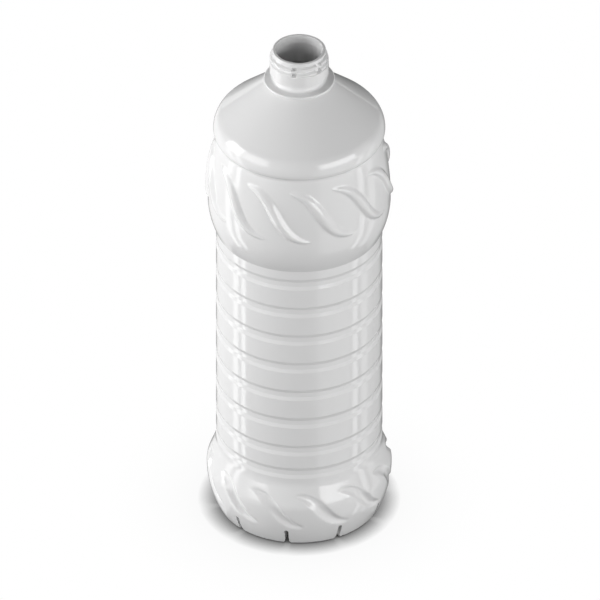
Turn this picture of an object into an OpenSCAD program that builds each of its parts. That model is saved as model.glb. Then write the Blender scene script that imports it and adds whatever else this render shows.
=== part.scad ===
/* [Neck finish] */
// Outer diameter of the rim and of the wall behind the thread
rim_d = 24.9; // [24.4:0.1:25.4]
// Diameter of the mouth
bore_d = 21.7; // [20:0.1:22.6]
// Height from the underside of the carrying ledge to the rim
neck_h = 17.5; // [16:0.5:20]
// Diameter over the thread
thread_d = 27.4; // [26.6:0.1:28]
// Rise of the thread in one turn
thread_pitch = 3.2; // [2.8:0.1:3.4]
// Length of the thread in turns
thread_turns = 1.8; // [1.2:0.1:1.9]
// Width of the slots that cut across the thread
vent_w = 2.3; // [1.6:0.1:3]
// Diameter of the smooth collar under the thread
collar_d = 27.7; // [27:0.1:28.6]
// Height of the smooth collar
collar_h = 5.4; // [4:0.2:6]
// Diameter of the narrow neck between the collar and the ledge
throat_d = 24.3; // [24:0.1:25]
// Diameter of the carrying ledge
ledge_d = 33.3; // [31:0.1:36]
// Thickness of the carrying ledge at its edge
ledge_t = 1.4; // [1:0.1:2]

/* [Shoulder] */
// Diameter of the shoulder
shoulder_d = 80.4; // [79.4:0.1:81.4]
// Slope of the shoulder cone below the horizontal, in degrees
shoulder_angle = 41.4; // [38:0.2:44]
// Radius of the rounded shoulder edge
shoulder_round = 9.9; // [7:0.1:10.5]
// Height of the shoulder's upright edge, with its rounded ends
shoulder_h = 8.2; // [7.6:0.1:9]

/* [Upper bulge] */
// Diameter at the top edge of the upper bulge
upper_top_d = 77; // [76:0.2:78.6]
// Diameter at the widest level of the upper bulge
upper_d = 85.5; // [84.5:0.1:86.6]
// Height of the widest level above the lower edge of the upper bulge
upper_mid_h = 16.8; // [14:0.1:20]
// Height of the upper bulge, from the waist to the crease under the shoulder
upper_h = 51.8; // [48:0.2:56]
// Number of raised waves around the upper bulge
upper_waves = 12; // [10:1:13]
// Width of a raised wave at its middle
ridge_w = 5.2; // [4:0.2:6]
// Height of a raised wave above the surface
ridge_h = 1.9; // [1:0.1:2.2]

/* [Waist] */
// Diameter of the waist
waist_d = 77.7; // [76.7:0.1:78.7]
// Number of grooves around the waist
groove_count = 7; // [3:1:9]
// Distance from one groove to the next
groove_pitch = 15.8; // [12:0.1:18]
// Distance from the lowest groove to the next
first_pitch = 12.9; // [11:0.1:16]
// Height of the lowest groove above the lower bulge
low_land = 6.5; // [5:0.1:8]
// Height of the waist's top above the highest groove
top_land = 7.6; // [6:0.1:10]
// Width of a groove
groove_w = 6; // [4:0.2:7]
// Depth of a groove
groove_depth = 0.6; // [0.3:0.05:0.9]

/* [Lower bulge] */
// Diameter at the widest level of the lower bulge
lower_d = 86.4; // [85:0.1:88]
// Height of the widest level above the foot
lower_mid_h = 22.2; // [20:0.1:24]
// Height at which the lower bulge meets the waist
lower_top_h = 34.5; // [33.6:0.1:37]
// Number of sunk waves around the lower bulge
lower_waves = 12; // [10:1:13]
// Width of a sunk wave at its middle
flute_w = 5.2; // [4:0.2:6]
// Depth of a sunk wave below the surface
flute_h = 1.7; // [0.8:0.1:1.8]

/* [Base] */
// Diameter of the ring that the bottle stands on
foot_d = 71.4; // [69:0.1:73]
// Radius of the rounded foot
foot_round = 2.9; // [2.4:0.1:3.4]
// Height of the push-up in the middle of the base
push_up_h = 7; // [5:0.5:9]
// Number of slots in the foot
slot_count = 10; // [6:1:12]
// Width of a slot in the foot
slot_w = 1.9; // [1.4:0.1:2.6]
// Height of a slot in the foot
slot_h = 10; // [8:0.2:11]
// Turn of the slots from the front of the bottle, in degrees
slot_turn = 27.6; // [0:0.1:36]

/* [Wall] */
// Wall thickness of the body
wall = 0.7; // [0.5:0.05:0.9]
// Wall thickness of the lower bulge, behind the sunk waves
heel_wall = 2.4; // [2.2:0.1:2.6]

/* [Hidden] */
$fn = 128;
arc_step = 9;
white = [0.93, 0.93, 0.93];

// Heights above the foot, from the bottom up
first_groove_z = lower_top_h + low_land;
second_groove_z = first_groove_z + first_pitch;
waist_top_z = second_groove_z + (groove_count - 1) * groove_pitch + top_land;
upper_mid_z = waist_top_z + upper_mid_h;
crease_z = waist_top_z + upper_h;
shoulder_z = crease_z + shoulder_h;
ledge_inner_r = 14.5;
ledge_z = shoulder_z + (shoulder_d / 2 - ledge_inner_r) * tan(shoulder_angle);
ledge_top_z = ledge_z + ledge_t;
collar_z = ledge_top_z + 3.7;
rim_z = ledge_z + neck_h;
bore_z = ledge_z + (ledge_inner_r - wall / sin(shoulder_angle) - bore_d / 2) * tan(shoulder_angle);

// The outside of the lower bulge is one arc, upright at its widest level and tangent to the round of the foot
heel_a = (lower_d - foot_d) / 2;
heel_b = lower_mid_h - foot_round;
heel_r = (heel_a * heel_a + heel_b * heel_b - foot_round * foot_round) / 2 / (heel_a - foot_round);
heel_c = [lower_d / 2 - heel_r, lower_mid_h];
foot_c = [foot_d / 2, foot_round];
foot_start = -80;
heel_end = atan2(foot_c.y - heel_c.y, foot_c.x - heel_c.x);

// The outside of the upper bulge bows from its widest level down to the waist and up to the crease
upper_mid = [upper_d / 2, upper_mid_z];
upper_foot = [waist_d / 2 + 0.6, waist_top_z + 1.4];
upper_edge = [upper_top_d / 2, crease_z - 0.9];

function unit(v) = v / norm(v);

// Points of an arc from angle a0 to angle a1
function arc(c, r, a0, a1) =
    let (n = max(1, ceil(abs(a1 - a0) / arc_step)))
    [for (i = [0:n]) let (a = a0 + (a1 - a0) * i / n) c + r * [cos(a), sin(a)]];

// A point of a bulge at share t of the way from its widest level, where it stands upright, to its edge
function bow(mid, edge, t) = [mid.x + (edge.x - mid.x) * t * t, mid.y + (edge.y - mid.y) * t];

// A corner at p between a and b, rounded as far as its share of its two sides allows
function corner(a, p, b, rad, share) =
    rad <= 0 ? [p] :
    let (
        u = unit(a - p), v = unit(b - p),
        half = acos(max(-1, min(1, u * v))) / 2,
        t = min(rad / tan(half), share * norm(a - p), share * norm(b - p)),
        r = t * tan(half),
        c = p + unit(u + v) * r / sin(half),
        e0 = p + u * t - c, e1 = p + v * t - c,
        a0 = atan2(e0.y, e0.x), a1 = atan2(e1.y, e1.x),
        d = (a1 - a0 + 900) % 360 - 180
    ) arc(c, r, a0, a0 + d);

// An outline through corners given as [radius, height, rounding]. A fourth value is the rounding's share of
// the sides, where the corner next to it leaves more than half
function rounded(pts) = [
    for (i = [0:len(pts) - 1])
        let (p = [pts[i][0], pts[i][1]])
        each (i == 0 || i == len(pts) - 1 ? [p] :
            corner([pts[i - 1][0], pts[i - 1][1]], p, [pts[i + 1][0], pts[i + 1][1]], pts[i][2],
                is_undef(pts[i][3]) ? 0.48 : pts[i][3]))
];

// One waist groove with its middle at height z, from the bottom up
function groove(z) = let (r = waist_d / 2, w = groove_w) [
    [r, z - w / 2, 0.9], [r - groove_depth, z - w / 5, 0.9],
    [r - groove_depth, z + w / 5, 0.9], [r, z + w / 2, 0.9]
];

// Base and heel from the axis out to the widest level, moved into the wall by t
function base_path(t) = concat(
    rounded([[0, push_up_h + t, 0], [foot_d / 2 - 18, push_up_h + t, 14],
        [foot_d / 2 - 2.4, t, 1.6], [foot_d / 2, t, 0]]),
    arc(foot_c, foot_round - t, foot_start, heel_end),
    [for (i = [1:7]) let (a = heel_end * (8 - i) / 8) heel_c + (heel_r - t) * [cos(a), sin(a)]]
);

// Side wall from the widest level of the lower bulge up to the carrying ledge
side_path = concat(
    rounded(concat(
        [[lower_d / 2, lower_mid_h, 0], [lower_d / 2, lower_mid_h + 1.6, 8, 0.98],
            [waist_d / 2, lower_top_h, 8]],
        groove(first_groove_z),
        [for (i = [1:groove_count]) each groove(second_groove_z + (i - 1) * groove_pitch)],
        [[waist_d / 2, waist_top_z, 0.8], [upper_foot.x, upper_foot.y, 0]]
    )),
    [for (i = [1:6]) bow(upper_mid, upper_foot, 1 - i / 6)],
    [for (i = [1:6]) bow(upper_mid, upper_edge, i / 7)],
    rounded([
        [upper_edge.x, upper_edge.y, 0], [upper_edge.x - 0.5, crease_z, 0.5],
        [shoulder_d / 2, crease_z + 2.2, 3.5], [shoulder_d / 2, shoulder_z, shoulder_round, 0.8],
        [ledge_inner_r, ledge_z, 0]
    ])
);

// Ledge, throat, collar and rim, up to the axis
neck_path = rounded([
    [ledge_inner_r, ledge_z, 0], [ledge_d / 2, ledge_z, 0.5], [ledge_d / 2, ledge_top_z, 0.6],
    [throat_d / 2, ledge_top_z, 1.6], [throat_d / 2, collar_z - 0.2, 0.3],
    [collar_d / 2, collar_z, 0.3], [collar_d / 2, collar_z + collar_h, 0.4],
    [rim_d / 2, collar_z + collar_h + 0.5, 0.4], [rim_d / 2, rim_z, 0.3], [0, rim_z, 0]
]);

// Wall thickness of the side at height z, measured along the radius. It thins between the lower bulge and
// the lowest groove, and its slant over the shoulder makes it wider
function side_wall(z) = lookup(z, [[lower_top_h, heel_wall], [lower_top_h + 0.6 * low_land, wall],
    [shoulder_z - 0.7 * shoulder_h, wall], [shoulder_z + 0.5 * shoulder_h, wall / sin(shoulder_angle)]]);

// Radius of the outside at height z
skin = [for (p = concat(base_path(0), side_path)) if (p.x > foot_d / 2) [p.y, p.x]];

// A point at azimuth a and height z, h proud of the outside, with the front of the bottle at azimuth 0
function on_skin(a, z, h) = let (r = lookup(z, skin) + h) [r * sin(a), -r * cos(a), z];

// A cubic curve through azimuth and height, and its direction
function bend(q, t) = pow(1 - t, 3) * q[0] + 3 * pow(1 - t, 2) * t * q[1]
    + 3 * (1 - t) * t * t * q[2] + pow(t, 3) * q[3];

// Section across a wave: its position from edge to edge and its share of the full height
wave_section = [for (b = [-1:0.5:1]) [b, pow(max(0, cos(90 * b)), 1.2)]];

// One S-shaped wave that tapers to a point at both ends. h is its height, negative for a sunk one
module wave(q, w, h) {
    steps = 14;
    edge = h > 0 ? -0.12 : 0.12;
    back = h > 0 ? -0.4 : 0.6;
    rings = [for (i = [0:steps]) let (
        t = 0.015 + 0.97 * i / steps,
        c = bend(q, t),
        g = bend(q, t + 0.01) - bend(q, t - 0.01),
        k = lookup(c.y, skin) * PI / 180,
        n = unit([-g.y, g.x * k]),
        half = w / 2 * pow(sin(180 * t), 0.8),
        tall = h * pow(sin(180 * t), 0.6)
    ) concat(
        [for (s = wave_section) on_skin(c.x + s[0] * half * n.x / k, c.y + s[0] * half * n.y,
            edge + s[1] * (tall - edge))],
        [for (b = [0.6, -0.6]) on_skin(c.x + b * half * n.x / k, c.y + b * half * n.y, back)]
    )];
    m = len(rings[0]);
    flip = h > 0;
    faces = concat(
        [for (i = [0:steps - 1], j = [0:m - 1])
            let (a = i * m + j, b = i * m + (j + 1) % m) each [[a, b, b + m], [a, b + m, a + m]]],
        [[for (j = [m - 1:-1:0]) j], [for (j = [0:m - 1]) steps * m + j]]
    );
    polyhedron([for (r = rings) each r],
        flip ? faces : [for (f = faces) [for (i = [len(f) - 1:-1:0]) f[i]]], convexity = 4);
}

// Curves of the waves through azimuth and height, as shares of the height of the bulge that carries them
upper_curve = [for (p = [[-22.3, 0.878], [2, 0.844], [-2, 0.409], [22.3, 0.376]])
    [p.x, waist_top_z + upper_h * p.y]];
lower_curve = [for (p = [[-17.5, 1.4], [-3, 1.26], [3, 0.694], [17.5, 0.536]])
    [p.x, lower_mid_h * p.y]];

module ridges() {
    for (i = [1:upper_waves]) rotate((i - 0.5) * 360 / upper_waves) wave(upper_curve, ridge_w, ridge_h);
}

module flutes() {
    for (i = [1:lower_waves]) rotate((i - 0.5) * 360 / lower_waves) wave(lower_curve, flute_w, -flute_h);
}

// Slots that run in from the heel over the foot and die out under the push-up, grown by g
module slots(g) {
    r = slot_w / 2 + g;
    for (i = [1:slot_count]) rotate(slot_turn + i * 360 / slot_count - 90)
        translate([lower_d / 2 - 2, 0, slot_h - slot_w / 2]) rotate([0, -14, 0]) translate([6, 0, 0])
            rotate([90, 0, -90]) linear_extrude(30) {
                circle(r);
                polygon([[-r, 0], [-r, -5.6], [-r - 1.4, -9.4], [-r - 1.4, -20],
                    [r + 1.4, -20], [r + 1.4, -9.4], [r, -5.6], [r, 0]]);
            }
}

// Screw thread that runs down clockwise from behind, with its ends let into the wall
module thread() {
    per_turn = 32;
    steps = ceil(thread_turns * per_turn);
    rings = [for (i = [0:steps]) let (
        a = 90 - i * 360 / per_turn,
        z = rim_z - 1.5 - thread_pitch * i / per_turn,
        rise = min(1, i / 3, (steps - i) / 3),
        low = rim_d / 2 - 0.5,
        top = low + 0.2 + (thread_d / 2 - low - 0.2) * rise
    ) [for (p = [[low, -1.15], [top, -0.5], [top, 0.5], [low, 1.15]]) [p.x * cos(a), p.x * sin(a), z + p.y]]];
    difference() {
        polyhedron([for (r = rings) each r], concat(
            [for (i = [0:steps - 1], j = [0:3])
                let (a = i * 4 + j, b = i * 4 + (j + 1) % 4) each [[a, b + 4, b], [a, a + 4, b + 4]]],
            [[0, 1, 2, 3], [for (j = [3:-1:0]) steps * 4 + j]]
        ), convexity = 6);
        for (a = [-11, 41, 169, 221]) rotate(a - 90)
            translate([rim_d / 2 - 1, -vent_w / 2, collar_z]) cube([4, vent_w, neck_h]);
    }
}

// Inside of the bottle, open at the mouth
module hollow() {
    difference() {
        rotate_extrude() polygon(concat(
            base_path(heel_wall),
            [for (p = side_path) if (p.x - side_wall(p.y) > bore_d / 2 + 0.1) [p.x - side_wall(p.y), p.y]],
            [[bore_d / 2, bore_z], [bore_d / 2, rim_z + 1], [0, rim_z + 1]]
        ));
        slots(wall);
    }
}

module bottle() {
    color(white) difference() {
        union() {
            rotate_extrude() polygon(concat(base_path(0), side_path,
                [for (i = [1:len(neck_path) - 1]) neck_path[i]]));
            ridges();
            thread();
        }
        flutes();
        slots(0);
        hollow();
    }
}

bottle();
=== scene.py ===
# %% [markdown]
# # A blown plastic bottle
# The real bottle is blown in one piece: a tube of soft plastic swells against the walls of a mould.
# So everything on it is a change in the radius of one round wall, and this lesson makes it that way.
# It spins one outline into a smooth skin, presses the waves, the thread and the foot slots into it,
# and ends with the plastic, the floor, the light and the camera.

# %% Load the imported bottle
import math

import bpy
import numpy as np
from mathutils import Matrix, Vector


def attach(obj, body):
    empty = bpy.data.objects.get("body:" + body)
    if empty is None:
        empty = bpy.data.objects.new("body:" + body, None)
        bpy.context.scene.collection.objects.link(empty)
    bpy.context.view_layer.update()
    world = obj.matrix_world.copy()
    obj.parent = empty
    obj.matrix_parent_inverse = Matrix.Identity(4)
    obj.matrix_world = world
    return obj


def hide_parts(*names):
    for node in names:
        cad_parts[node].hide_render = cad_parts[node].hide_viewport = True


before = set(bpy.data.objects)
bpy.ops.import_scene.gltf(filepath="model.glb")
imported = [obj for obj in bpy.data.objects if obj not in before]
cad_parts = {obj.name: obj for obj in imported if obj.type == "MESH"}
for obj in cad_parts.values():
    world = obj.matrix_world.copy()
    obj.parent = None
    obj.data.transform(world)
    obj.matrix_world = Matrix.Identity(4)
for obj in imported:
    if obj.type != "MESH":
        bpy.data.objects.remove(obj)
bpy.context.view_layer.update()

bpy.ops.object.select_all(action="DESELECT")

# %% [markdown]
# ## Sizes
# A turned or blown shape needs few numbers: a radius and a height for each corner of its outline.
# They are in millimetres here, as on a maker's drawing, and become metres when the mesh is made.

# %% Sizes of the bottle in millimetres
MM = 0.001
waist_r = 38.85
upper_r = 42.75
upper_top_r = 38.5
lower_r = 43.2
shoulder_r = 40.2
foot_r = 35.7
foot_round = 2.9
ring_w = 2.4
push_up_r = foot_r - 18
push_up_h = 7.0

lower_mid_h = 22.2
lower_top_h = 34.5
groove_pitch = 15.8
groove_w = 6.0
groove_depth = 0.6
groove_heights = [41.0] + [53.9 + i * groove_pitch for i in range(7)]
waist_top_h = groove_heights[-1] + 7.6
upper_mid_h = waist_top_h + 16.8
crease_h = waist_top_h + 51.8
shoulder_h = crease_h + 8.2
shoulder_angle = math.radians(41.4)
shoulder_round = 9.9

ledge_inner_r = 14.5
ledge_r = 16.65
throat_r = 12.15
collar_r = 13.85
collar_tall = 5.4
rim_r = 12.45
bore_r = 10.85
mouth_r = 11.2
inside_r = waist_r - 1.8
inside_floor_h = 15
ledge_h = shoulder_h + (shoulder_r - ledge_inner_r) * math.tan(shoulder_angle)
ledge_top_h = ledge_h + 1.4
collar_h = ledge_top_h + 3.7
rim_h = ledge_h + 17.5
print("The rim is", round(rim_h, 2), "mm above the floor")

# %% [markdown]
# ## One outline with rounded corners
# A mould has no sharp corners, so each corner of the outline carries a rounding radius.
# The helper below replaces a corner by a short arc, in steps fine enough to catch the light smoothly.

# %% Round the corners of an outline
def corner_arc(before, corner, after, radius, degrees_per_step):
    """Points of the arc that rounds a corner."""
    u = (before - corner).normalized()
    v = (after - corner).normalized()
    half = u.angle(v) / 2
    cut = min(radius / math.tan(half), (before - corner).length, (after - corner).length)
    r = cut * math.tan(half)
    centre = corner + (u + v).normalized() * (r / math.sin(half))
    start = corner + u * cut - centre
    turn = start.angle_signed(corner + v * cut - centre)
    steps = max(1, math.ceil(abs(math.degrees(turn)) / degrees_per_step))
    first = math.atan2(start.y, start.x)
    angles = [first - turn * i / steps for i in range(steps + 1)]
    return [centre + r * Vector((math.cos(a), math.sin(a))) for a in angles]


def rounded(corners, degrees_per_step=7):
    """An outline through corners given as (radius, height, rounding)."""
    points = []
    for i, (r, h, rounding) in enumerate(corners):
        here = Vector((r, h))
        if i in (0, len(corners) - 1) or rounding == 0:
            points.append(here)
            continue
        before = Vector(corners[i - 1][:2])
        after = Vector(corners[i + 1][:2])
        points += corner_arc(before, here, after, rounding, degrees_per_step)
    return points


def arc(centre, r, from_angle, to_angle, steps):
    """Points of an arc in the outline's plane."""
    angles = [from_angle + (to_angle - from_angle) * i / steps for i in range(steps + 1)]
    return [Vector(centre) + r * Vector((math.cos(a), math.sin(a))) for a in angles]


# %% [markdown]
# ## The outline, from the middle of the base to the middle of the inside
# The heel is one long arc that stands upright at its widest level and runs into the round of the foot.
# The waist's grooves are stiffening rings: without them, a hand would buckle the thin wall.

# %% Outline of the base and heel
heel_out = lower_r - foot_r
heel_up = lower_mid_h - foot_round
heel_arc_r = (heel_out ** 2 + heel_up ** 2 - foot_round ** 2) / 2 / (heel_out - foot_round)
heel_centre = (lower_r - heel_arc_r, lower_mid_h)
heel_end = math.atan2(foot_round - heel_centre[1], foot_r - heel_centre[0])
base = rounded([(0, push_up_h, 0), (push_up_r, push_up_h, 14), (foot_r - ring_w, 0, 1.6), (foot_r, 0, 0)])
foot = arc((foot_r, foot_round), foot_round, math.radians(-80), heel_end, 7)
heel = arc(heel_centre, heel_arc_r, heel_end, 0, 28)
print("The heel's arc has a radius of", round(heel_arc_r, 1), "mm")

# %% Outline of the side wall
def groove(h):
    """Corners of one groove round the waist, with its middle at height h."""
    return [(waist_r, h - groove_w / 2, 0.9), (waist_r - groove_depth, h - groove_w / 5, 0.9),
            (waist_r - groove_depth, h + groove_w / 5, 0.9), (waist_r, h + groove_w / 2, 0.9)]


def bow(middle, edge, steps):
    """A bulge from its widest level, where it stands upright, to its edge."""
    out, up = edge - middle
    shares = [i / steps for i in range(steps + 1)]
    return [Vector((middle.x + out * t * t, middle.y + up * t)) for t in shares]


first_groove = groove(groove_heights[0])
lip = rounded([(lower_r, lower_mid_h, 0), (lower_r, lower_mid_h + 1.6, 8), (waist_r, lower_top_h, 8),
               first_groove[0][:2] + (0,)], degrees_per_step=4)
waist_corners = []
for h in groove_heights:
    waist_corners += groove(h)
belly_foot = Vector((waist_r + 0.6, waist_top_h + 1.4))
waist_corners += [(waist_r, waist_top_h, 0.8), (belly_foot.x, belly_foot.y, 0)]
waist = rounded([(waist_r, lower_top_h + 2, 0)] + waist_corners, degrees_per_step=10)
upper_middle = Vector((upper_r, upper_mid_h))
belly = bow(upper_middle, belly_foot, 20)[::-1]
barrel = bow(upper_middle, Vector((upper_top_r, crease_h - 0.9)), 50)[:-2]
shoulder = rounded([
    (barrel[-1].x, barrel[-1].y, 0), (upper_top_r - 0.3, crease_h, 2.2), (shoulder_r, crease_h + 2.2, 3.5),
    (shoulder_r, shoulder_h, shoulder_round), (ledge_inner_r, ledge_h, 0),
], degrees_per_step=4)
side = lip[:-1] + waist + belly[1:] + barrel[1:] + shoulder[1:]

# %% Outline of the neck and of the inside
neck = rounded([
    (ledge_inner_r, ledge_h, 0), (ledge_r, ledge_h, 0.5), (ledge_r, ledge_top_h, 0.6),
    (throat_r, ledge_top_h, 1.3), (throat_r, collar_h - 0.2, 0.3), (collar_r, collar_h, 0.3),
    (collar_r, collar_h + collar_tall, 0.4), (rim_r, collar_h + collar_tall + 0.5, 0.4),
    (rim_r, rim_h, 0.3), (mouth_r, rim_h, 0),
], degrees_per_step=12)
inside = rounded([
    (mouth_r, rim_h, 0), (mouth_r, rim_h - 2, 1), (bore_r, rim_h - 4, 1), (bore_r, ledge_h + 2.3, 3),
    (inside_r, shoulder_h - 4, 8), (inside_r, inside_floor_h + 1, 6), (0, inside_floor_h, 0),
], degrees_per_step=15)
print("The outline has", len(base) + len(foot) + len(heel) + len(side) + len(neck) + len(inside), "points")

# %% [markdown]
# ## Spinning the outline
# Spin turns an outline round an axis, as a lathe or a mould maker's cutter does.
# One vertex is pulled along the outline by extruding it, and then spun in steps of two degrees.
# Long straight runs are cut into short ones first, so that the waves find enough vertices to move.

# %% Cut the long runs of the outline short where relief will stand
def fine(points, low, high, longest):
    """The outline with every run between two heights cut into pieces no longer than given."""
    out = [points[0]]
    for a, b in zip(points, points[1:]):
        middle = (a.y + b.y) / 2
        pieces = math.ceil((b - a).length / longest) if low < middle < high else 1
        out += [a.lerp(b, i / pieces) for i in range(1, pieces + 1)]
    return out


side = fine(side, 0, lower_top_h - 0.5, 0.7)
thread_low = collar_h + collar_tall + 0.2
neck = fine(neck, thread_low, rim_h - 0.3, 0.25)
outline = base + foot + heel + side + neck + inside
outline = [p for i, p in enumerate(outline) if i == 0 or (p - outline[i - 1]).length > 0.01]
print("The finer outline has", len(outline), "points")

# %% Spin it into the skin of the bottle
SPIN_STEPS = 180


def spin_outline(name, points):
    """A closed round skin from an outline that starts and ends on the axis."""
    bpy.ops.mesh.primitive_plane_add(size=1)
    piece = bpy.context.object
    piece.name = name
    bpy.ops.object.mode_set(mode="EDIT")
    bpy.ops.mesh.merge(type="CENTER")
    bpy.ops.transform.translate(value=(points[0].x * MM, 0, points[0].y * MM))
    for a, b in zip(points, points[1:]):
        step = ((b.x - a.x) * MM, 0, (b.y - a.y) * MM)
        bpy.ops.mesh.extrude_region_move(TRANSFORM_OT_translate={"value": step})
    bpy.ops.mesh.select_all(action="SELECT")
    bpy.ops.mesh.spin(steps=SPIN_STEPS, angle=2 * math.pi, center=(0, 0, 0), axis=(0, 0, 1))
    bpy.ops.mesh.select_all(action="SELECT")
    bpy.ops.mesh.remove_doubles(threshold=0.000002)
    bpy.ops.mesh.normals_make_consistent(inside=False)
    bpy.ops.object.mode_set(mode="OBJECT")
    return piece


bottle = spin_outline("bottle_skin", outline)
print("The skin has", len(bottle.data.vertices), "vertices and", len(bottle.data.polygons), "faces")

# %% [markdown]
# ## Waves, thread and vents
# Each wave is an S that leans to one side and tapers to a point at both ends.
# On the drawing it is one curve through angle and height, repeated twelve times round the bottle.
# Every vertex near a curve moves in or out by the share of the wave that its distance gives it,
# which keeps the wall one smooth skin, as a mould does. The columns of faces are cut finer there first.

# %% Read the skin as radius, angle and height
def read_skin(piece):
    """Radius, angle from the front and height of each vertex, in millimetres and degrees."""
    place = np.zeros(len(piece.data.vertices) * 3)
    piece.data.vertices.foreach_get("co", place)
    x, y, height = place.reshape(-1, 3).T / MM
    return np.hypot(x, y), np.degrees(np.arctan2(x, -y)), height


# %% Waves
upper_wave_r, upper_wave_half, upper_wave_tall = 42.2, 2.9, 1.9
lower_wave_r, lower_wave_half, lower_wave_deep = 42.8, 3.0, 1.7
upper_bend = [(-22.3, crease_h - 6.3), (3, crease_h - 7.9), (-3, crease_h - 30.8), (22.3, crease_h - 32.3)]
lower_bend = [(-17.5, 29.2), (1, 28.6), (-1, 14.6), (17.7, 12.3)]


def wave_push(skin, bend, low, high, wall_r, half_width, tall):
    """How far each vertex moves for twelve waves. bend is the curve's corners as (angle, height)."""
    radius, angle, height = skin
    t = np.linspace(0, 1, 121)[:, None]
    a, b, c, d = (np.array(p, float) for p in bend)
    line = (1 - t) ** 3 * a + 3 * (1 - t) ** 2 * t * b + 3 * (1 - t) * t ** 2 * c + t ** 3 * d
    line[:, 0] *= math.radians(wall_r)
    along = np.sin(np.pi * t[:, 0])
    width = np.maximum(half_width * along ** 0.5, 0.05)
    rise = tall * along ** 0.5
    near = np.flatnonzero((radius > waist_r - 1) & (height > low) & (height < high))
    moved = np.zeros(len(near))
    for k in (-1, 0, 1):
        x = (angle[near] % 30 - 15 + k * 30) * math.radians(wall_r)
        gap = np.hypot(x[:, None] - line[None, :, 0], height[near][:, None] - line[None, :, 1])
        moved = np.maximum(moved, (rise * wave_shape(np.minimum(gap / width, 2))).max(axis=1))
    push = np.zeros(len(radius))
    push[near] = moved
    return push


def wave_shape(share):
    """Height across half a wave: a round bead with a softened foot at its edge."""
    bead = 1 - share ** 2
    return (bead + np.sqrt(bead ** 2 + 0.012)) / 2


def upper_waves(skin, more=0):
    """Push of the raised waves, which may be taken wider than they are."""
    band = crease_h - 36, crease_h - 2
    return wave_push(skin, upper_bend, *band, upper_wave_r, upper_wave_half + more, upper_wave_tall)


def lower_waves(skin, more=0):
    """Push of the sunk waves, before it is turned inwards."""
    band = 8.8, 34.3
    return wave_push(skin, lower_bend, *band, lower_wave_r, lower_wave_half + more, lower_wave_deep)


# %% Cut the columns of faces finer where relief will stand
def cut_columns(piece, wanted, cuts):
    """Cut the level edges that have a wanted vertex into shorter ones, with a column between the cuts."""
    height = read_skin(piece)[2]
    ends = np.zeros(len(piece.data.edges) * 2, dtype=int)
    piece.data.edges.foreach_get("vertices", ends)
    ends = ends.reshape(-1, 2)
    level = np.abs(height[ends[:, 0]] - height[ends[:, 1]]) < 0.001
    chosen = level & wanted[ends].any(axis=1)
    bpy.ops.object.mode_set(mode="EDIT")
    bpy.ops.mesh.select_mode(type="EDGE")
    bpy.ops.mesh.select_all(action="DESELECT")
    bpy.ops.object.mode_set(mode="OBJECT")
    piece.data.edges.foreach_set("select", chosen)
    bpy.ops.object.mode_set(mode="EDIT")
    bpy.ops.mesh.subdivide(number_cuts=cuts)
    bpy.ops.object.mode_set(mode="OBJECT")


skin = read_skin(bottle)
cut_columns(bottle, upper_waves(skin, 0.4) + lower_waves(skin, 0.4) > 0.05, 2)
skin = read_skin(bottle)
cut_columns(bottle, (skin[0] > rim_r - 0.1) & (skin[2] > thread_low - 0.1), 1)
radius, angle, height = read_skin(bottle)
print("With finer columns the skin has", len(bottle.data.polygons), "faces")

# %% Press the waves
# A cut column lies on the chord between two spun ones, so it is put back on the circle here.
half_step = 180 / SPIN_STEPS
from_chord = angle % (2 * half_step) - half_step
on_circle = radius * np.cos(np.radians(from_chord)) / math.cos(math.radians(half_step))
push = on_circle - radius
push += upper_waves((radius, angle, height))
push -= lower_waves((radius, angle, height))
print("The waves stand up to", round(push.max(), 2), "mm proud and", round(-push.min(), 2), "mm sunk")

# %% [markdown]
# ## Screw thread
# The cap's thread is a low ridge that winds down from behind the mouth, a little over one and a half turns.
# Slots across it let gas out while the cap is still held. The ridge is the same trick as the waves:
# a vertex moves out when its height is close to the height that the screw has at its angle.

# %% Thread and its vents
thread_rise = 13.8 - rim_r
first_crest = 1.5
crest_half = 1.15
crest_flank = 0.65
fade_per_turn = 11
thread_start = 0.2
thread_pitch = 3.2
thread_turns = 1.8
vents = (-11, 43, 169, 223)
vent_half = 1.15
vent_edge = 0.2
vent_pit = 0.35
on_neck = np.flatnonzero((radius > rim_r - 0.2) & (height > thread_low - 0.2) & (height < rim_h - 0.05))
lift = np.zeros(len(on_neck))
for turn in (0, 1):
    wound = (180 - angle[on_neck]) / 360 % 1 + turn
    gap = np.abs(height[on_neck] - (rim_h - first_crest - thread_pitch * wound))
    crest = np.clip((crest_half - gap) / crest_flank, 0, 1)
    begins = np.clip((wound - thread_start) * fade_per_turn, 0, 1)
    ends = np.clip((thread_turns - wound) * fade_per_turn, 0, 1)
    lift = np.maximum(lift, crest * begins * ends)
for vent in vents:
    away = np.abs((angle[on_neck] - vent + 180) % 360 - 180) * math.radians(rim_r)
    beside = np.clip((away - vent_half) / vent_edge + 0.5, 0, 1)
    lift *= beside - (1 - beside) * vent_pit
thread_r = rim_r + lift * thread_rise
push[on_neck] += np.where(lift > 0, np.maximum(thread_r - radius[on_neck], 0), lift * thread_rise)
print("The thread lifts", int((lift > 0).sum()), "vertices")

# %% Move the skin
place = np.zeros(len(radius) * 3)
bottle.data.vertices.foreach_get("co", place)
place = place.reshape(-1, 3)
place[:, :2] *= (1 + push / np.maximum(radius, 0.001))[:, None]
bottle.data.vertices.foreach_set("co", place.ravel())
bottle.data.update()

# %% [markdown]
# ## Slots in the foot
# The base is pushed up so that the bottle stands on a ring, and ten slots run in over that ring.
# Each slot is cut by a tool: a bar with a round top that flares out where it leaves the foot.
# The bar starts as a cube, gets its round by bevelling, and its flare by extruding and scaling.

# %% Make one cutter
slot_half = 0.95
slot_h = 10.0
slot_lean = -14
flare = 2.0
flare_tall = 3.8
bar_long = 30
bar_tall = 6.6
bar_below = 11
slot_angles = [-8.4 + 36 * i for i in range(10)]


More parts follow.
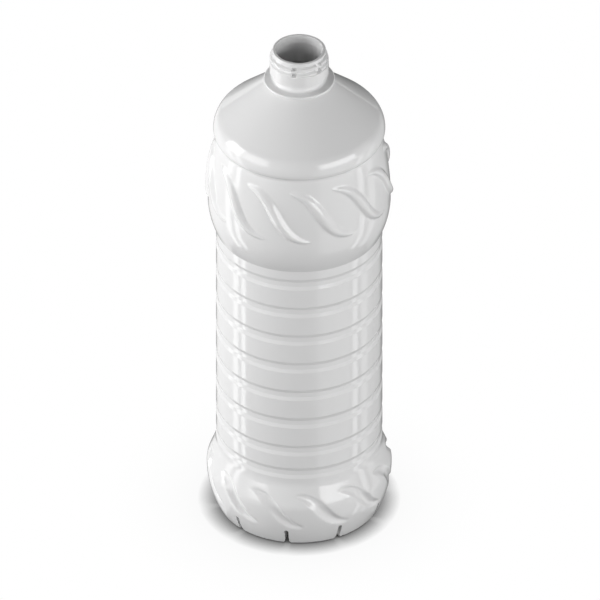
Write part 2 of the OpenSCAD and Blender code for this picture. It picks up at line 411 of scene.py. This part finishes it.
def select_faces_facing(piece, direction):
    """Select the faces of the piece in edit mode whose normals point along direction."""
    bpy.ops.object.mode_set(mode="OBJECT")
    for part in (piece.data.vertices, piece.data.edges, piece.data.polygons):
        for element in part:
            element.select = False
    for face in piece.data.polygons:
        face.select = face.normal.dot(direction) > 0.99
    bpy.ops.object.mode_set(mode="EDIT")


def select_long_top_edges(piece):
    """Select the two top edges that run along the bar."""
    bpy.ops.object.mode_set(mode="OBJECT")
    mesh = piece.data
    top = max(v.co.z for v in mesh.vertices)
    for part in (mesh.vertices, mesh.polygons):
        for element in part:
            element.select = False
    for edge in mesh.edges:
        a, b = (mesh.vertices[i].co for i in edge.vertices)
        edge.select = min(a.z, b.z) > top - 1e-5 and abs(a.y - b.y) < 1e-5
    bpy.ops.object.mode_set(mode="EDIT")


def make_cutter(name):
    """A bar along X with a round top at height 0 and a flared lower half."""
    bpy.ops.mesh.primitive_cube_add(size=1)
    bar = bpy.context.object
    bar.name = name
    bpy.ops.object.mode_set(mode="EDIT")
    bpy.ops.transform.resize(value=(bar_long * MM, 2 * slot_half * MM, bar_tall * MM))
    bpy.ops.transform.translate(value=(-9 * MM, 0, (slot_half - bar_tall / 2) * MM))
    select_long_top_edges(bar)
    bpy.ops.mesh.bevel(offset=slot_half * MM * 0.98, segments=6, affect="EDGES")
    select_faces_facing(bar, Vector((0, 0, -1)))
    bpy.ops.mesh.extrude_region_move(TRANSFORM_OT_translate={"value": (0, 0, -flare_tall * MM)})
    bpy.ops.transform.resize(value=(1, 1 + flare / slot_half, 1))
    bpy.ops.mesh.extrude_region_move(TRANSFORM_OT_translate={"value": (0, 0, -bar_below * MM)})
    bpy.ops.mesh.select_all(action="SELECT")
    bpy.ops.mesh.normals_make_consistent(inside=False)
    bpy.ops.object.mode_set(mode="OBJECT")
    return bar


# %% Set ten cutters round the foot and cut
bpy.ops.object.select_all(action="DESELECT")
cutters = []
for i, slot_angle in enumerate(slot_angles):
    bar = make_cutter(f"slot_cutter_{i}")
    turned = math.radians(slot_angle - 90)
    bar.rotation_euler = (0, math.radians(slot_lean), turned)
    reach = (lower_r - 2) * MM
    bar.location = (reach * math.cos(turned), reach * math.sin(turned), (slot_h - slot_half) * MM)
    bpy.ops.object.transform_apply(location=True, rotation=True, scale=True)
    cutters.append(bar)
    bar.select_set(False)
bpy.context.view_layer.objects.active = cutters[0]
for bar in cutters:
    bar.select_set(True)
bpy.ops.object.join()
cutter = cutters[0]
bpy.ops.object.select_all(action="DESELECT")
bpy.context.view_layer.objects.active = bottle
bottle.select_set(True)
cut = bottle.modifiers.new("foot_slots", "BOOLEAN")
cut.operation = "DIFFERENCE"
cut.solver = "EXACT"
cut.object = cutter
bpy.ops.object.modifier_apply(modifier=cut.name)
bpy.data.objects.remove(cutter)
bpy.ops.object.shade_smooth_by_angle(angle=math.radians(48))
flats = bottle.modifiers.new("flats_stay_flat", "WEIGHTED_NORMAL")
flats.keep_sharp = True
bpy.ops.object.modifier_apply(modifier=flats.name)
triangles = sum(len(face.vertices) - 2 for face in bottle.data.polygons)
print("After the cut the skin has", triangles, "triangles")

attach(bottle, "root")
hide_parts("bottle")

# %% [markdown]
# ## White plastic
# The plastic is opaque white with a satin gloss. Its colour is one white with a breath of variation,
# and its gloss wavers a little where the mould was worn, which keeps a highlight from looking drawn.

# %% White plastic
def new_material(name):
    """A node material with its Principled BSDF and its node tree."""
    material = bpy.data.materials.new(name)
    material.use_nodes = True
    return material, material.node_tree, material.node_tree.nodes["Principled BSDF"]


def noise(tree, coordinates, scale, detail):
    """A noise pattern that stays with the object."""
    node = tree.nodes.new("ShaderNodeTexNoise")
    node.inputs["Scale"].default_value = scale
    node.inputs["Detail"].default_value = detail
    tree.links.new(coordinates.outputs["Object"], node.inputs["Vector"])
    return node


def spread(tree, source, low, high):
    """A noise value spread between a low and a high value."""
    node = tree.nodes.new("ShaderNodeMapRange")
    node.inputs["From Min"].default_value = 0.3
    node.inputs["From Max"].default_value = 0.7
    node.inputs["To Min"].default_value = low
    node.inputs["To Max"].default_value = high
    tree.links.new(source.outputs["Fac"], node.inputs["Value"])
    return node


plastic, tree, shader = new_material("white_plastic")
coordinates = tree.nodes.new("ShaderNodeTexCoord")
clouds = noise(tree, coordinates, 18, 3)
tint = tree.nodes.new("ShaderNodeMix")
tint.data_type = "RGBA"
tint.inputs["A"].default_value = (0.80, 0.80, 0.80, 1)
tint.inputs["B"].default_value = (0.83, 0.83, 0.83, 1)
tree.links.new(clouds.outputs["Fac"], tint.inputs["Factor"])
tree.links.new(tint.outputs["Result"], shader.inputs["Base Color"])
gloss = spread(tree, noise(tree, coordinates, 45, 2), 0.11, 0.14)
tree.links.new(gloss.outputs["Result"], shader.inputs["Roughness"])
skin_grain = noise(tree, coordinates, 260, 2)
bump = tree.nodes.new("ShaderNodeBump")
bump.inputs["Strength"].default_value = 0.02
bump.inputs["Distance"].default_value = 0.0002
tree.links.new(skin_grain.outputs["Fac"], bump.inputs["Height"])
tree.links.new(bump.outputs["Normal"], shader.inputs["Normal"])
shader.inputs["IOR"].default_value = 1.5
for piece in (bottle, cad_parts["bottle"]):
    piece.data.materials.clear()
    piece.data.materials.append(plastic)

# %% [markdown]
# ## Floor and light
# The bottle stands on plain white. The camera sees the floor as pure white that darkens only where the
# bottle shades it closely: Ambient Occlusion measures how much of the sky a point of the floor is cut off
# from. It is taken twice, close by for the dark line of contact and further out for a faint halo.
# To all other rays the floor is matt grey paper, which throws a little light back up at the bottle.
# Gloss rays pass through it, because the studio's tall panels show in the wall as far down as they go.

# %% Floor
bpy.ops.object.select_all(action="DESELECT")
bpy.ops.mesh.primitive_plane_add(size=6)
floor = bpy.context.object
floor.name = "floor"
floor.visible_glossy = False
floor_white, tree, shader = new_material("floor_white")
shader.inputs["Base Color"].default_value = (0.3, 0.3, 0.3, 1)
shader.inputs["Roughness"].default_value = 0.9
shader.inputs["Specular IOR Level"].default_value = 0
path = tree.nodes.new("ShaderNodeLightPath")
shades = []
for reach, depth in ((0.009, 1.25), (0.05, 0.1)):
    open_sky = tree.nodes.new("ShaderNodeAmbientOcclusion")
    open_sky.samples = 16
    open_sky.inputs["Distance"].default_value = reach
    shade = tree.nodes.new("ShaderNodeMath")
    shade.operation = "POWER"
    shade.inputs[1].default_value = depth
    tree.links.new(open_sky.outputs["AO"], shade.inputs[0])
    shades.append(shade)
both = tree.nodes.new("ShaderNodeMath")
both.operation = "MULTIPLY"
for socket, shade in zip(both.inputs, shades):
    tree.links.new(shade.outputs["Value"], socket)
glow = tree.nodes.new("ShaderNodeEmission")
tree.links.new(both.outputs["Value"], glow.inputs["Strength"])
seen = tree.nodes.new("ShaderNodeMixShader")
tree.links.new(path.outputs["Is Camera Ray"], seen.inputs["Fac"])
tree.links.new(shader.outputs["BSDF"], seen.inputs[1])
tree.links.new(glow.outputs["Emission"], seen.inputs[2])
tree.links.new(seen.outputs["Shader"], tree.nodes["Material Output"].inputs["Surface"])
floor.data.materials.append(floor_white)

# %% World
world = bpy.data.worlds.new("studio")
bpy.context.scene.world = world
world.use_nodes = True
tree = world.node_tree
backdrop = tree.nodes["Background"]
backdrop.inputs["Color"].default_value = (1, 1, 1, 1)
path = tree.nodes.new("ShaderNodeLightPath")
level = tree.nodes.new("ShaderNodeMapRange")
level.inputs["To Min"].default_value = 0.09
level.inputs["To Max"].default_value = 1.0
tree.links.new(path.outputs["Is Camera Ray"], level.inputs["Value"])
tree.links.new(level.outputs["Result"], backdrop.inputs["Strength"])

# %% [markdown]
# ## Panels of light
# Soft light comes from large sheets. Each panel stands upright 1.6 metres from the bottle, and is given by
# the angles that it spans: round the bottle from its front, and up and down from the middle of its height.
# The wall mirrors the camera's downward view, so the lower panels show in it as upright bands.

# %% Panels
MIDDLE_HEIGHT = 0.13
PANEL_DISTANCE = 1.6


def panel(name, around, upright, watts_per_square_metre):
    """An upright soft lamp that faces the bottle and spans two pairs of angles in degrees."""
    turn = math.radians(sum(around) / 2)
    width = 2 * PANEL_DISTANCE * math.tan(math.radians(around[1] - around[0]) / 2)
    low, high = (MIDDLE_HEIGHT + PANEL_DISTANCE * math.tan(math.radians(a)) for a in upright)
    bpy.ops.object.light_add(
        type="AREA",
        location=(PANEL_DISTANCE * math.sin(turn), -PANEL_DISTANCE * math.cos(turn), (low + high) / 2),
        rotation=(math.pi / 2, 0, turn),
    )
    lamp = bpy.context.object
    lamp.name = name
    lamp.data.shape = "RECTANGLE"
    lamp.data.size, lamp.data.size_y = width, high - low
    lamp.data.energy = watts_per_square_metre * width * (high - low)
    return lamp


panel("left_panel", (-104, -79), (0, 33), 27)
panel("left_front_panel", (-75, -40), (0, 35), 10.5)
panel("right_panel", (25, 75), (0, 25), 16.5)
panel("right_back_panel", (79, 104), (0, 33), 2)
panel("left_near_strip", (-87, -79.5), (-50, 0), 11.5)
panel("left_far_strip", (-103.5, -93), (-50, 0), 8.5)
panel("left_back_band", (-160, -104), (-50, 0), 2.2)
panel("right_band", (25, 75), (-50, 0), 3)
panel("right_near_strip", (79, 88), (-50, 0), 8)
panel("right_far_strip", (95, 108), (-50, 0), 4)
panel("right_back_band", (108, 150), (-50, 0), 1)
panel("back_panel", (150, 210), (0, 35), 3.5)
print("The studio has", len(bpy.data.lights), "panels")

# %% [markdown]
# ## Camera
# The photograph is a parallel view from above at the isometric angle, so lines that run away from the
# camera stay parallel. An orthographic camera gives that, and its scale is the width that it sees.

# %% Camera
PIXEL = 0.467 * MM
tilt = math.asin(math.sqrt(1 / 3))
axis_offset = 0.77 * PIXEL
aim_height = 197.5 * PIXEL / math.cos(tilt)
bpy.ops.object.camera_add(
    location=(axis_offset, -math.cos(tilt), aim_height + math.sin(tilt)),
    rotation=(math.pi / 2 - tilt, 0, 0),
)
camera = bpy.context.object
camera.name = "camera"
camera.data.type = "ORTHO"
camera.data.ortho_scale = 600 * PIXEL
bpy.context.scene.camera = camera
bpy.context.scene.view_settings.view_transform = "Standard"
